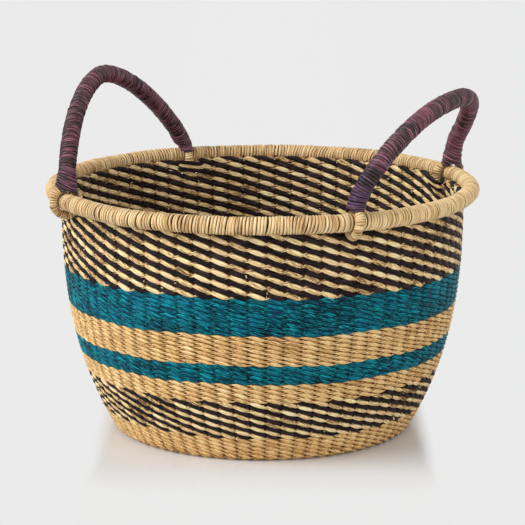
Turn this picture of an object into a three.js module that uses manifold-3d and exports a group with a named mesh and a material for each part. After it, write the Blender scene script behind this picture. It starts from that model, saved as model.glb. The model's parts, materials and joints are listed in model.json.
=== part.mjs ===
// A round storage basket of twined grass with two arched carrying handles.
// Millimetres, +Z up. The origin is the middle of the base, on the surface that the basket stands on.
// The handles stand over +X and -X. Each one swings about the line through its two feet on the rim.

import * as THREE from 'three';
import { mergeVertices } from 'three/addons/utils/BufferGeometryUtils.js';
import Module from 'manifold-3d';

const wasm = await Module();
wasm.setup();

// Clearance between pieces that lie against each other
const GAP = 0.3;

// Rim: a core of bent-over stake ends, wrapped all round with straw
const RIM_RADIUS = 201.6;
const RIM_ROLL_RADIUS = 8.4;
const RIM_WRAP_WALL = 1.6;
const RIM_SLIT = 3.0;

// Where the wall's outer face and inner lip meet the rim roll, in degrees below the roll's middle
const SEAT_ANGLE = 43.6;
const LIP_ANGLE = 20;

// Wall: heights of the coloured bands of twined rows, from the floor up
const BOTTOM_NATURAL_HEIGHT = 25.3;
const LOWER_STRIPES_HEIGHT = 38.3;
const LOWER_NATURAL_HEIGHT = 18.6;
const NARROW_TEAL_HEIGHT = 18.1;
const UPPER_NATURAL_HEIGHT = 28.9;
const WIDE_TEAL_HEIGHT = 35.4;
const UPPER_STRIPES_HEIGHT = 67.4;
const WALL_THICKNESS = 8;

// The wall leans out fast at the foot and stands nearly upright at the rim
const FOOT_RADIUS = 144.7;
const FLARE_POWER = 2.7;
const HEEL_ROUNDING = 10;

// Base: a disc of twined rounds that stands on a flat outer ring, its middle pushed up
const BASE_THICKNESS = 8;
const BASE_PUSH_UP = 4;
const FOOT_RING_WIDTH = 28;
const BASE_TURN_UP = 8;
const BASE_START_RADIUS = 24;
const BASE_INNER_RADIUS = 62;
const BASE_MIDDLE_RADIUS = 98;

// Handles: a grass bundle wound with straw
const HANDLE_RADIUS = 8.8;
const HANDLE_WRAP_WALL = 1.7;
const WINDING_PITCH = 3.3;
const WINDING_RIDGE = 0.4;
const FOOT_HALF_DEPTH = 11.8;
const FOOT_HALF_WIDTH = 7.6;
const FOOT_FLARE_LENGTH = 26;

// How far round its loop's crest a foot reaches down on each side, in degrees
const FOOT_STRADDLE = 45;

// The two handles were bent by hand and differ a little. Each has its feet halfSpan degrees either side
// of its middle, and its legs bow in towards the basket just above the rim before they arch over.
const RIGHT_HANDLE = {
  halfSpan: 44,
  rise: 103.3,
  lean: 32.6,
  shoulder: 2.5,
  crown: 2.59,
  skew: -5,
  bow: 12.5,
};
const LEFT_HANDLE = {
  halfSpan: 45.3,
  rise: 105.1,
  lean: 18.4,
  shoulder: 1.7,
  crown: 1.38,
  skew: -1.2,
  bow: 4.4,
};
const BOW_HEIGHT = 14;

// Loops: each foot is tied on by a wrapped loop round the rim and through the wall below it
const LOOP_WIDTH = 9;
const LOOP_THICKNESS = 7.2;
const LOOP_PLAY = 1.0;
const SQUARE_LEAN = 20;
const HANDLE_SWING = 20;
const NOTCH_PLAY = 0.6;

// How finely round shapes are cut
const ROUND_SEGMENTS = 44;
const LOOP_SEGMENTS = 20;
const ROLL_POINTS = 10;
const HANDLE_SIDES = 8;
const BORE_TURNS_PER_RING = 5;
const WALL_STEP = 24;
const HEEL_STEPS = 3;
const WELD = 1e-4;

const STRAW = 0xd8b87c;
const TEAL = 0x1d8088;
const DARK_STRIPES = 0x8a7458;
const PURPLE = 0x55304a;
const CORE_GRASS = 0xb59a62;

const radians = THREE.MathUtils.degToRad;

// Sizes that follow from the values above
const bands = [
  { name: 'bottom_natural_band', height: BOTTOM_NATURAL_HEIGHT, colour: STRAW },
  { name: 'lower_striped_band', height: LOWER_STRIPES_HEIGHT, colour: DARK_STRIPES },
  { name: 'lower_natural_band', height: LOWER_NATURAL_HEIGHT, colour: STRAW },
  { name: 'narrow_teal_band', height: NARROW_TEAL_HEIGHT, colour: TEAL },
  { name: 'upper_natural_band', height: UPPER_NATURAL_HEIGHT, colour: STRAW },
  { name: 'wide_teal_band', height: WIDE_TEAL_HEIGHT, colour: TEAL },
  { name: 'upper_striped_band', height: UPPER_STRIPES_HEIGHT, colour: DARK_STRIPES },
];
const wallHeight = bands.reduce((sum, band) => sum + band.height, 0);
const rollSeat = RIM_ROLL_RADIUS + GAP;
const rimHeight = wallHeight + rollSeat * Math.sin(radians(LIP_ANGLE));
const wallTopRadius = RIM_RADIUS - rollSeat * Math.cos(radians(SEAT_ANGLE));
const footFlatRadius = wallRadius(HEEL_ROUNDING) - HEEL_ROUNDING;
const baseRadius = footFlatRadius - BASE_TURN_UP;
const footRingRadius = footFlatRadius - FOOT_RING_WIDTH;
const loopInnerRadius = RIM_ROLL_RADIUS + LOOP_PLAY;
const loopOuterRadius = loopInnerRadius + LOOP_THICKNESS;
const footStart = loopOuterRadius * Math.cos(radians(FOOT_STRADDLE));

const basket = new THREE.Group();

// Distance from the basket's axis to the line through a handle's two feet
function hingeDistance(handle) {
  return RIM_RADIUS * Math.cos(radians(handle.halfSpan));
}

function halfChord(handle) {
  return RIM_RADIUS * Math.sin(radians(handle.halfSpan));
}

// Outer radius of the wall at a height above the floor
function wallRadius(height) {
  const below = 1 - height / wallHeight;
  return wallTopRadius - (wallTopRadius - FOOT_RADIUS) * Math.pow(below, FLARE_POWER);
}

// Inner radius of the wall at a height: the wall keeps its thickness square to its slope
function wallInnerRadius(height) {
  const step = 0.5;
  const slope = (wallRadius(height + step / 2) - wallRadius(height - step / 2)) / step;
  return wallRadius(height) - WALL_THICKNESS * Math.hypot(1, slope);
}

// Height of the base's underside at a radius
function baseRise(radius) {
  const share = Math.min(radius / footRingRadius, 1);
  return BASE_PUSH_UP * Math.pow(1 - share * share, 2);
}

function place(parent, name, geometry, colour, roughness = 0.8) {
  const material = new THREE.MeshStandardMaterial({ color: colour, roughness, metalness: 0 });
  const mesh = new THREE.Mesh(geometry, material);
  mesh.name = name;
  parent.add(mesh);
  return mesh;
}

// Turns a closed outline of [radius, height] points about the Z axis
function turned(outline, segments = ROUND_SEGMENTS) {
  const area = outline.reduce((sum, [r, z], i) => {
    const [nextR, nextZ] = outline[(i + 1) % outline.length];
    return sum + r * nextZ - nextR * z;
  }, 0);
  const ordered = area > 0 ? outline : [...outline].reverse();
  const points = [...ordered, ordered[0]].map(([r, z]) => new THREE.Vector2(r, z));
  const geometry = new THREE.LatheGeometry(points, segments);
  geometry.rotateX(Math.PI / 2);
  return bare(geometry);
}

// Keeps only the corner positions, each shared corner once
function bare(geometry) {
  geometry.deleteAttribute('normal');
  geometry.deleteAttribute('uv');
  return mergeVertices(geometry, WELD);
}

function cut(geometry, cutters) {
  let solid = toManifold(geometry);
  for (const cutter of cutters) {
    solid = solid.subtract(toManifold(cutter));
  }
  const mesh = solid.getMesh();
  const result = new THREE.BufferGeometry();
  result.setAttribute('position', new THREE.BufferAttribute(mesh.vertProperties, 3));
  result.setIndex(new THREE.BufferAttribute(mesh.triVerts, 1));
  return result;
}

function toManifold(geometry) {
  const mesh = new wasm.Mesh({
    numProp: 3,
    vertProperties: new Float32Array(geometry.attributes.position.array),
    triVerts: new Uint32Array(geometry.index.array),
  });
  return new wasm.Manifold(mesh);
}

// Joins rings of points into one closed body. Bore rings, where given, leave a hole right through.
function skinned(rings, boreRings = []) {
  const sides = rings[0].length;
  const positions = [];
  const faces = [];
  const add = (ring) => {
    const first = positions.length / 3;
    ring.forEach((point) => positions.push(point.x, point.y, point.z));
    return first;
  };
  const quad = (a, b, c, d) => faces.push(a, b, c, a, c, d);
  const firsts = rings.map(add);
  const boreFirsts = boreRings.map(add);
  for (let j = 0; j < sides; j += 1) {
    const k = (j + 1) % sides;
    for (let i = 0; i + 1 < firsts.length; i += 1) {
      quad(firsts[i] + j, firsts[i] + k, firsts[i + 1] + k, firsts[i + 1] + j);
    }
    for (let i = 0; i + 1 < boreFirsts.length; i += 1) {
      quad(boreFirsts[i] + j, boreFirsts[i + 1] + j, boreFirsts[i + 1] + k, boreFirsts[i] + k);
    }
    const start = firsts[0];
    const end = firsts.at(-1);
    if (boreFirsts.length > 0) {
      quad(boreFirsts[0] + j, boreFirsts[0] + k, start + k, start + j);
      quad(end + j, end + k, boreFirsts.at(-1) + k, boreFirsts.at(-1) + j);
    } else if (j > 0 && k > 0) {
      faces.push(start, start + k, start + j);
      faces.push(end, end + j, end + k);
    }
  }
  const geometry = new THREE.BufferGeometry();
  geometry.setAttribute('position', new THREE.Float32BufferAttribute(positions, 3));
  geometry.setIndex(faces);
  return geometry;
}

// Base: the crossed start and three zones of twined rounds
function addBase() {
  const zones = [
    { name: 'base_start', from: 0, to: BASE_START_RADIUS },
    { name: 'base_inner_rounds', from: BASE_START_RADIUS, to: BASE_INNER_RADIUS },
    { name: 'base_middle_rounds', from: BASE_INNER_RADIUS, to: BASE_MIDDLE_RADIUS },
    { name: 'base_outer_rounds', from: BASE_MIDDLE_RADIUS, to: baseRadius },
  ];
  for (const zone of zones) {
    const inner = zone.from > 0 ? zone.from + GAP / 2 : 0;
    const outer = zone.to - GAP / 2;
    const radii = [inner, outer];
    if (footRingRadius > inner && footRingRadius < outer) {
      radii.splice(1, 0, footRingRadius);
    }
    const under = radii.map((r) => [r, baseRise(r)]);
    const over = radii.map((r) => [r, baseRise(r) + BASE_THICKNESS]).reverse();
    place(basket, zone.name, turned([...under, ...over]), STRAW);
  }
}

// Wall: the bottom band turns the base up into the wall round the heel
function bottomBand(top) {
  const outline = [[baseRadius + GAP / 2, 0]];
  for (let i = 0; i < HEEL_STEPS; i += 1) {
    const turn = ((Math.PI / 2) * i) / HEEL_STEPS;
    outline.push([
      footFlatRadius + HEEL_ROUNDING * Math.sin(turn),
      HEEL_ROUNDING * (1 - Math.cos(turn)),
    ]);
  }
  const middle = (HEEL_ROUNDING + top) / 2;
  outline.push([wallRadius(HEEL_ROUNDING), HEEL_ROUNDING]);
  outline.push([wallRadius(middle), middle]);
  outline.push([wallRadius(top), top]);
  outline.push([wallInnerRadius(top), top]);
  outline.push([wallInnerRadius(middle), middle]);
  outline.push([baseRadius + GAP / 2 + BASE_TURN_UP / 2, BASE_THICKNESS]);
  outline.push([baseRadius + GAP / 2, BASE_THICKNESS]);
  return turned(outline);
}

function middleBand(bottom, top) {
  const steps = Math.ceil((top - bottom) / WALL_STEP);
  const heights = Array.from({ length: steps + 1 }, (_, i) => bottom + (i / steps) * (top - bottom));
  const outside = heights.map((height) => [wallRadius(height), height]);
  const inside = heights.map((height) => [wallInnerRadius(height), height]).reverse();
  return turned([...outside, ...inside]);
}

// The top band's upper edge is hollowed to the rim roll and notched for the four loops
function topBand(bottom) {
  const outline = [
    [wallInnerRadius(bottom), bottom],
    [wallRadius(bottom), bottom],
  ];
  const hollow = [SEAT_ANGLE, (SEAT_ANGLE + LIP_ANGLE) / 2, LIP_ANGLE];
  for (const degrees of hollow) {
    const turn = radians(degrees);
    outline.push([RIM_RADIUS - rollSeat * Math.cos(turn), rimHeight - rollSeat * Math.sin(turn)]);
  }
  outline.push([wallTopRadius - WALL_THICKNESS, wallHeight]);
  return cut(turned(outline), loopNotches());
}

// A loop tips along the rim as its handle swings, so its notch is as wide as the tipped loop
function loopNotches() {
  const sides = [[1, RIGHT_HANDLE], [-1, LEFT_HANDLE]];
  return sides.flatMap(([side, handle]) => {
    const across = Math.sin(radians(handle.halfSpan)) ** 2;
    const tip = Math.acos(across * Math.cos(radians(HANDLE_SWING)) + 1 - across);
    const width = LOOP_WIDTH * Math.cos(tip) + 2 * loopOuterRadius * Math.sin(tip) + 2 * NOTCH_PLAY;
    return [1, -1].map((end) => {
      const notch = new THREE.CylinderGeometry(
        loopOuterRadius + NOTCH_PLAY,
        loopOuterRadius + NOTCH_PLAY,
        width,
        LOOP_SEGMENTS,
      );
      notch.rotateZ(end * side * radians(handle.halfSpan));
      notch.translate(side * hingeDistance(handle), end * halfChord(handle), rimHeight);
      return bare(notch);
    });
  });
}

function addWall() {
  let bottom = 0;
  bands.forEach((band, i) => {
    const top = bottom + band.height - GAP / 2;
    const start = bottom + GAP / 2;
    let shape;
    if (i === 0) {
      shape = bottomBand(top);
    } else if (i === bands.length - 1) {
      shape = topBand(start);
    } else {
      shape = middleBand(start, top);
    }
    place(basket, band.name, shape, band.colour);
    bottom += band.height;
  });
}

// Rim: the wrapping is open along a slit on the wall's side, where the stakes run up into the core
function addRim() {
  const boreRadius = RIM_ROLL_RADIUS - RIM_WRAP_WALL;
  const coreRadius = boreRadius * Math.cos(Math.PI / (ROLL_POINTS - 1)) - GAP;
  const slitTurn = Math.PI + radians((SEAT_ANGLE + LIP_ANGLE) / 2);
  const arc = (radius, points) => {
    const halfSlit = RIM_SLIT / 2 / radius;
    const step = (2 * Math.PI - 2 * halfSlit) / (points - 1);
    return Array.from({ length: points }, (_, i) => {
      const turn = slitTurn + halfSlit + i * step;
      return [RIM_RADIUS + radius * Math.cos(turn), rimHeight + radius * Math.sin(turn)];
    });
  };
  const outside = arc(RIM_ROLL_RADIUS, ROLL_POINTS + 2);
  const inside = arc(boreRadius, ROLL_POINTS).reverse();
  place(basket, 'rim_wrap', turned([...outside, ...inside]), STRAW);
  const core = Array.from({ length: ROLL_POINTS - 2 }, (_, i) => {
    const turn = (2 * Math.PI * i) / (ROLL_POINTS - 2);
    return [RIM_RADIUS + coreRadius * Math.cos(turn), rimHeight + coreRadius * Math.sin(turn)];
  });
  place(basket, 'rim_core', turned(core), CORE_GRASS);
}

// A handle's centreline, in its own frame: Y along the chord between its feet, Z up, X out
class HandleArch extends THREE.Curve {
  constructor(handle) {
    super();
    this.handle = handle;
    this.arcLengthDivisions = 600;
  }

  getPoint(t, target = new THREE.Vector3()) {
    const { rise, shoulder, crown, skew, bow } = this.handle;
    const turn = Math.PI * t;
    const along = -Math.sign(Math.cos(turn)) * Math.pow(Math.abs(Math.cos(turn)), 2 / shoulder);
    const up = Math.pow(Math.max(Math.sin(turn), 0), 2 / crown);
    const inward = bow * (1 - Math.exp((-rise * up) / BOW_HEIGHT));
    return target.set(-inward, halfChord(this.handle) * along + skew * up, rise * up);
  }
}

// Rings of points along the arch. inset thins the section, ridge(length, angle) raises it.
// The feet flare across the rim, so the section's long axis is turned from the chord to the rim's radius.
function archRings(arch, ringCount, inset, ridge = () => 0) {
  const total = arch.getLength();
  const turn = -radians(arch.handle.halfSpan);
  return Array.from({ length: ringCount }, (_, i) => {
    const travelled = footStart + (i / (ringCount - 1)) * (total - 2 * footStart);
    const point = arch.getPointAt(travelled / total);
    const tangent = arch.getTangentAt(travelled / total);
    const toFoot = Math.min(travelled, total - travelled) - footStart;
    const flare = Math.pow(Math.max(1 - toFoot / FOOT_FLARE_LENGTH, 0), 2);
    const depth = HANDLE_RADIUS + (FOOT_HALF_DEPTH - HANDLE_RADIUS) * flare - inset;
    const width = HANDLE_RADIUS + (FOOT_HALF_WIDTH - HANDLE_RADIUS) * flare - inset;
    const sideways = new THREE.Vector3().crossVectors(tangent, new THREE.Vector3(1, 0, 0)).normalize();
    const outward = new THREE.Vector3().crossVectors(sideways, tangent);
    return Array.from({ length: HANDLE_SIDES }, (__, j) => {
      const angle = (2 * Math.PI * j) / HANDLE_SIDES;
      const lift = 1 + ridge(travelled, angle) / HANDLE_RADIUS;
      const long = depth * lift * Math.cos(angle - turn);
      const short = width * lift * Math.sin(angle - turn);
      return point.clone()
        .addScaledVector(outward, long * Math.cos(turn) - short * Math.sin(turn))
        .addScaledVector(sideways, long * Math.sin(turn) + short * Math.cos(turn));
    });
  });
}

// Direction of the rim where a foot is tied, in the handle's own plane, at the lean that suits its loops
function loopAxis(handle, end) {
  const spin = radians(handle.halfSpan);
  const axis = new THREE.Vector3(-end * Math.sin(spin), Math.cos(spin), 0);
  return axis.applyAxisAngle(new THREE.Vector3(0, 1, 0), -radians(SQUARE_LEAN));
}

// Each foot is hollowed to sit astride its loop
function footSaddles(handle) {
  const radius = (loopOuterRadius + GAP) / Math.cos(Math.PI / LOOP_SEGMENTS);
  return [-1, 1].map((end) => {
    const saddle = new THREE.CylinderGeometry(radius, radius, 4 * FOOT_HALF_DEPTH, LOOP_SEGMENTS);
    const turn = new THREE.Quaternion();
    saddle.applyQuaternion(turn.setFromUnitVectors(new THREE.Vector3(0, 1, 0), loopAxis(handle, end)));
    saddle.translate(0, end * halfChord(handle), 0);
    return bare(saddle);
  });
}

// The winding is one straw wound from foot to foot, so its ridges climb as a helix
function addHandle(name, handle, bearing) {
  const side = new THREE.Group();
  side.rotation.z = radians(bearing);
  const hinge = new THREE.Group();
  hinge.position.set(hingeDistance(handle), 0, rimHeight);
  hinge.rotation.y = radians(handle.lean);
  side.add(hinge);
  basket.add(side);

  const arch = new HandleArch(handle);
  const turns = Math.round((arch.getLength() - 2 * footStart) / WINDING_PITCH);
  const ridge = (travelled, angle) => (
    WINDING_RIDGE * Math.cos((2 * Math.PI * (travelled - footStart)) / WINDING_PITCH - angle)
  );
  const boreRings = Math.ceil(turns / BORE_TURNS_PER_RING) + 1;
  const wrap = skinned(
    archRings(arch, 2 * turns + 1, 0, ridge),
    archRings(arch, boreRings, HANDLE_WRAP_WALL),
  );
  place(hinge, `${name}_handle_wrap`, cut(wrap, footSaddles(handle)), PURPLE, 0.6);
  const core = skinned(archRings(arch, boreRings, HANDLE_WRAP_WALL + GAP));
  place(hinge, `${name}_handle_core`, cut(core, footSaddles(handle)), CORE_GRASS);
  const front = -Math.sign(Math.cos(side.rotation.z));
  addLoop(hinge, `${name}_front_loop`, handle, front);
  addLoop(hinge, `${name}_back_loop`, handle, -front);
}

// A loop stands square to the rim when its handle leans out by the middle of its swing
function addLoop(hinge, name, handle, end) {
  const middle = (loopInnerRadius + loopOuterRadius) / 2;
  const section = Array.from({ length: ROLL_POINTS }, (_, i) => {
    const turn = (2 * Math.PI * i) / ROLL_POINTS;
    return [
      middle + (LOOP_THICKNESS / 2) * Math.cos(turn),
      (LOOP_WIDTH / 2) * Math.sin(turn),
    ];
  });
  const loop = place(hinge, name, turned(section, LOOP_SEGMENTS), STRAW);
  loop.quaternion.setFromUnitVectors(new THREE.Vector3(0, 0, 1), loopAxis(handle, end));
  loop.position.set(0, end * halfChord(handle), 0);
}

addBase();
addWall();
addRim();
addHandle('right', RIGHT_HANDLE, 0);
addHandle('left', LEFT_HANDLE, 180);

export default basket;
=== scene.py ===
# A round storage basket of twined grass with two swinging handles, dressed straw by straw.
# Metres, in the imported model's own frame: the basket stands on z = 0 and its handles are over +X and -X.

import json
import math

import bmesh
import bpy
import numpy as np
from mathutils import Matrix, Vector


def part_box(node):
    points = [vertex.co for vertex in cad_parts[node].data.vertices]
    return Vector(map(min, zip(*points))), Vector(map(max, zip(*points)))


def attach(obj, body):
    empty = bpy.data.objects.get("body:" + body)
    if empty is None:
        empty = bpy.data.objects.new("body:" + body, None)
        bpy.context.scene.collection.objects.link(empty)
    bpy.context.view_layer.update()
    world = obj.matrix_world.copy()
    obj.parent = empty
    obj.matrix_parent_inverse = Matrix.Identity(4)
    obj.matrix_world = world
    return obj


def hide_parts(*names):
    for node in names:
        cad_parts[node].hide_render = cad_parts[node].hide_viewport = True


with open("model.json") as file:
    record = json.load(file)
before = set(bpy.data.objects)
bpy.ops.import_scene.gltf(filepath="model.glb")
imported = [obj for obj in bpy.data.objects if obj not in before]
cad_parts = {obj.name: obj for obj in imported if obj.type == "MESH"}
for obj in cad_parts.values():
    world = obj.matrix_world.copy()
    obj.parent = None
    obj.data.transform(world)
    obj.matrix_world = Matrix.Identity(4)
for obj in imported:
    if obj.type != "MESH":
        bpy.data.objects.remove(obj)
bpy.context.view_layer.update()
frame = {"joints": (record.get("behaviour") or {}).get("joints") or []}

# Basket: the outer face of its wall, the start of its base, and the roll round its rim
WALL_HEIGHT = 0.232
WALL_THICKNESS = 0.008
WALL_TOP_RADIUS = 0.1953
FOOT_RADIUS = 0.1447
FLARE_POWER = 2.7
HEEL_RADIUS = 0.008
HEEL_SHARE = 0.018
BASE_PUSH_UP = 0.004
FOOT_RING_RADIUS = 0.1124
BASE_CROSSING_STRAWS = 9
BASE_CROSSING_SPACING = 0.0050
BASE_CROSSING_WAVE = 0.0013
BASE_CROSSING_RADIUS = 0.0017
BASE_CROSSING_LAP = 0.001
RIM_RADIUS = 0.2016
RIM_ROLL_RADIUS = 0.0084
RIM_PITCH = 0.0030
RIM_STRAW = 0.48 * RIM_PITCH
RIM_STRAW_INSET = 0.0011
RIM_WINDING_START = math.radians(205)
RIM_BUNDLE_RADIUS = 0.0040
RIM_STEM = 0.0019
BUNDLE_TWIST = 9

# The roll sways up and down and swells a little all round, but not beside the handle loops
RIM_SWAY = 0.00035
RIM_SMALL_SWAY = 0.00025
RIM_SWELL = 0.02
RIM_EVEN_REACH = 0.016

# Twining: each round has two strands that cross between every two stakes and change places. Where they do,
# each one is squeezed to a part of its height and its face lies a little deeper. Sizes are halves, from
# the strand's middle, and its height is a share of the rounds' pitch.
STEPS_PER_STAKE = 6
STRAND_SWING = 0.0008
STRAND_DEPTH = 0.0032
STRAND_GROOVE = 0.0011
GROOVE_ROUNDNESS = 0.7
STRAND_SQUARENESS = 0.35
STRAND_FILL = 0.515
STRAND_TWIST = 0.22
PINCH = {"natural": 0.36, "striped": 0.30, "teal": 0.46}
TAPER = {"natural": 1.7, "striped": 0.65, "teal": 0.75}
SLANT = {"natural": 0.30, "striped": 0.35, "teal": 0.25}
PLY_CREASE = {"natural": 0.93, "striped": 0.92, "teal": 0.82}
UNDULATION = 0.0009

# Stakes: most end in the rim's roll, and those near a handle loop stop short below it
STAKES = 72
STAKE_RADIUS = 0.0009
STAKE_LAP = 0.004
STAKE_DROP = 0.003
STAKE_END_INSET = 0.004
STAKE_END_DROP = 0.001
TIED_STAKE_DROP = 0.018
TIED_NEARNESS = 0.010

# Cut straw ends: the share of stitches that has one, and how far from the wall's middle it starts and ends
STRAW_END_SHARE = {"striped": 0.30, "teal": 0.03}
STRAW_END_INSIDE = 0.85
STRAW_END_RADIUS = 0.00048
STRAW_END_START = 0.0025
STRAW_END_REACH = 0.0046
STRAW_END_LONGER = 0.0010

# How much one stitch differs from the next: shares of its size, its slant, the pitch and its swing, and
# how its tone differs from stitch to stitch and along the strand
LOOSE_SIZE = 0.05
LOOSE_SLANT = 0.10
LOOSE_LIFT = 0.035
LOOSE_SWING = 0.10
LOOSE_TONE = 0.16
TONE_ALONG = 0.12

# Beside the handle loops the rows, counted down from the rim, are pushed down and made a little thinner
ROWS_PUSHED_DOWN = {2: 0.0024, 3: 0.0016, 4: 0.0010, 5: 0.0005}
PUSH_REACH = 0.010
PUSH_THINNING = 0.12

# A straw's fibres turn once round it in this length, and each straw has its own part of the grain
FIBRE_TURN_LENGTH = 0.12
FIBRE_OFFSET = 0.37

# Painted shade along a strand's edges, which deepens towards a crossing, on the side that faces the wall,
# and in the creases of its outline
PIT_GAIN = 3.4
PIT_START = 1.3
PIT_DEEPEST = 1.8
PIT_SPREAD = 1.6
PIT_EDGE = 1.8
WALL_SIDE_GAIN = 1.5
WALL_SIDE_START = 0.1
CREASE_SHADE = 0.6

# Bands from the middle of the base up to the rim: CAD node, rounds, stakes and what the straw is
BANDS = [
    ("base_inner_rounds", 10, STAKES // 4, "natural"),
    ("base_middle_rounds", 9, STAKES // 2, "natural"),
    ("base_outer_rounds", 9, STAKES, "natural"),
    ("bottom_natural_band", 8, STAKES, "natural"),
    ("lower_striped_band", 9, STAKES, "striped"),
    ("lower_natural_band", 4, STAKES, "natural"),
    ("narrow_teal_band", 4, STAKES, "teal"),
    ("upper_natural_band", 7, STAKES, "natural"),
    ("wide_teal_band", 8, STAKES, "teal"),
    ("upper_striped_band", 13, STAKES, "striped"),
]
ROUNDS_PER_PIECE = 9
HEEL_ROUNDS = 2

# Behind each handle loop: how far below the rim's middle each short strand lies, how far in, and its dye
STRANDS_BEHIND = [(0.0057, 0.0183, 1.0), (0.0096, 0.0168, 0.0), (0.0133, 0.0156, 1.0)]
BEHIND_HALF_LENGTH = 0.0160
BEHIND_BEND_START = 0.0096
BEHIND_BEND_LENGTH = 0.0064
BEHIND_END_INSET = 0.0118
BEHIND_STAGGER = 0.0015
BEHIND_SLOPE = 0.15
BEHIND_SIZE = 0.0020
BEHIND_FLATNESS = 0.45

# Handles: the bundle of each one, its winding and its feet
HANDLE_RADIUS = 0.0088
HANDLE_PITCH = 0.0025
HANDLE_STRAW = 0.0014
HANDLE_STRAW_INSET = 0.0012
HANDLE_BUNDLE_RADIUS = 0.0054
HANDLE_STEM = 0.0014
VIOLET_LENGTH = 0.035
FOOT_HALF_DEPTH = 0.0124
FOOT_HALF_WIDTH = 0.0080
FOOT_FLARE_LENGTH = 0.028
FOOT_START = 0.0096
FOOT_STAND = 0.016
SADDLE_RADIUS = 0.0098
SADDLE_FLARE = 0.24
BUNDLE_START = 0.0180
BOW_HEIGHT = 0.014

# Each handle's arch: half the angle between its feet round the rim and its lean, both in degrees, its
# rise, how square its shoulders and crown are, its skew, and how far its legs bow inwards. Then, for its
# front and back foot: how the winding tilts and how far the foot shifts, each outwards and along the
# chord, how far its loop slides along the rim, and how far round the loop the foot's winding covers it,
# to either side, in radians.
HANDLES = {
    "right": dict(
        half_span=44.0, rise=0.1033, lean=32.6, shoulder=2.5, crown=2.59, skew=-0.005, bow=0.0125,
        tilts=((0.30, 0.0), (-0.25, 0.0)),
        shifts=((0.0, 0.0), (0.0045, 0.0)),
        slides=(-0.0024, 0.0),
        covers=((0.80, 0.85), (0.85, 0.85)),
    ),
    "left": dict(
        half_span=45.3, rise=0.1051, lean=18.4, shoulder=1.7, crown=1.38, skew=-0.0012, bow=0.0044,
        tilts=((0.85, 0.0), (0.75, -0.45)),
        shifts=((-0.0020, 0.0), (0.0, 0.0036)),
        slides=(0.0, 0.0022),
        covers=((0.50, 1.0), (0.85, 1.4)),
    ),
}
BEARINGS = {"right": 0.0, "left": math.pi}
LOOP_HOLE = 0.0087
LOOP_CORD_RADIUS = 0.0040
LOOP_CORD_WIDENING = 1.12
LOOP_PITCH = 0.0022
LOOP_STRAW = 0.00108
LOOP_STRAW_INSET = 0.0008
LOOP_CORE_INSET = 0.0009
LOOP_TALLER = 0.0005
LOOP_LEAN = math.radians(20)
LOOP_GAP = 0.0080
LOOP_GAP_TAPER = 0.003

# Where the foot's winding covers a loop, the loop is raised, thinner and narrower
COVERED_RAISE = 0.0006
COVERED_THINNING = 0.6
COVERED_NARROWING = 0.4

# Outlines of one straw: how far out, how far along the work, and how deep in a crease each corner lies,
# which sets the shade painted there
WOUND_STRAW = [
    (0.00, 1.00, 1.5), (0.50, 0.78, 0.5), (0.76, 0.26, 0.0), (0.72, -0.34, 0.0),
    (0.42, -0.84, 0.7), (0.00, -1.00, 1.5), (-0.25, -0.45, 1.6), (-0.25, 0.45, 1.6),
]
ROUND_STEM = [
    (math.sin(turn), math.cos(turn), 0.0) for turn in np.linspace(0, 2 * math.pi, 7)[:-1]
]


def two_ply(crease):
    """A strand of two straws twisted together, with a crease between them on each face. The third number of
    each corner sets the shade painted there.
    """
    return [
        (0.00, 1.00, 0.9), (0.70, 0.86, 0.15), (0.97, 0.46, 0.0), (crease, 0.02, 0.5),
        (1.00, -0.42, 0.0), (0.72, -0.86, 0.3), (-0.72, -0.86, 0.3), (-1.00, -0.42, 0.0),
        (-crease, 0.02, 0.5), (-0.70, 0.86, 0.15),
    ]


class Run:
    """A straw's centreline: its points, its size and tilt at each of them, and its look there.

    In twining, facing says how far the strand lies outside, and leaving how near it is to a crossing."""

    def __init__(self, points, size=1.0, tilt=0.0, closed=False, tone=0.5, dye=0.0, hollow=0.0,
                 facing=0.0, leaving=0.0, bulge=None):
        self.points = np.asarray(points)
        at_points = dict(
            size=size, tilt=tilt, tone=tone, dye=dye, hollow=hollow, facing=facing, leaving=leaving,
        )
        for name, values in at_points.items():
            setattr(self, name, np.broadcast_to(values, len(self.points)).astype(float))
        self.closed = closed
        self.bulge = bulge

    def lengths(self):
        """How far along the straw each point lies."""
        steps = np.linalg.norm(np.diff(self.points, axis=0), axis=1)
        return np.concatenate([[0.0], np.cumsum(steps)])


def outline_curve(outline, size):
    """A closed curve in the shape of a straw's section, which the sweep follows."""
    curve = bpy.data.curves.new("straw_section", "CURVE")
    spline = curve.splines.new("POLY")
    spline.points.add(len(outline) - 1)
    for point, (x, y, _) in zip(spline.points, outline):
        point.co = (x * size, y * size, 0, 1)
    spline.use_cyclic_u = True
    section = bpy.data.objects.new("straw_section", curve)
    bpy.context.collection.objects.link(section)
    return section


def sweep(name, runs, outline, size, upright="Z_UP"):
    """Sweeps a straw's outline along runs of points and notes on each vertex how its straw lies."""
    section = outline_curve(outline, size)
    curve = bpy.data.curves.new(name, "CURVE")
    curve.dimensions = "3D"
    curve.twist_mode = upright
    curve.bevel_mode = "OBJECT"
    curve.bevel_object = section
    for run in runs:
        spline = curve.splines.new("POLY")
        spline.points.add(len(run.points) - 1)
        spline.points.foreach_set("co", np.column_stack([run.points, np.ones(len(run.points))]).ravel())
        spline.points.foreach_set("radius", run.size)
        spline.points.foreach_set("tilt", run.tilt)
        spline.use_cyclic_u = run.closed
    path = bpy.data.objects.new(name + "_path", curve)
    bpy.context.collection.objects.link(path)
    graph = bpy.context.evaluated_depsgraph_get()
    mesh = bpy.data.meshes.new_from_object(path.evaluated_get(graph))
    mesh.name = name
    for used in (path, section):
        data = used.data
        bpy.data.objects.remove(used)
        bpy.data.curves.remove(data)
    mesh.materials.clear()
    mesh.polygons.foreach_set("use_smooth", np.ones(len(mesh.polygons), bool))
    if runs[0].bulge is not None:
        bulge_out(mesh, runs, np.array(outline))
    note_straws(mesh, runs, np.array(outline), size)
    if not all(run.closed for run in runs):
        close_ends(mesh)
    return mesh


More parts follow.
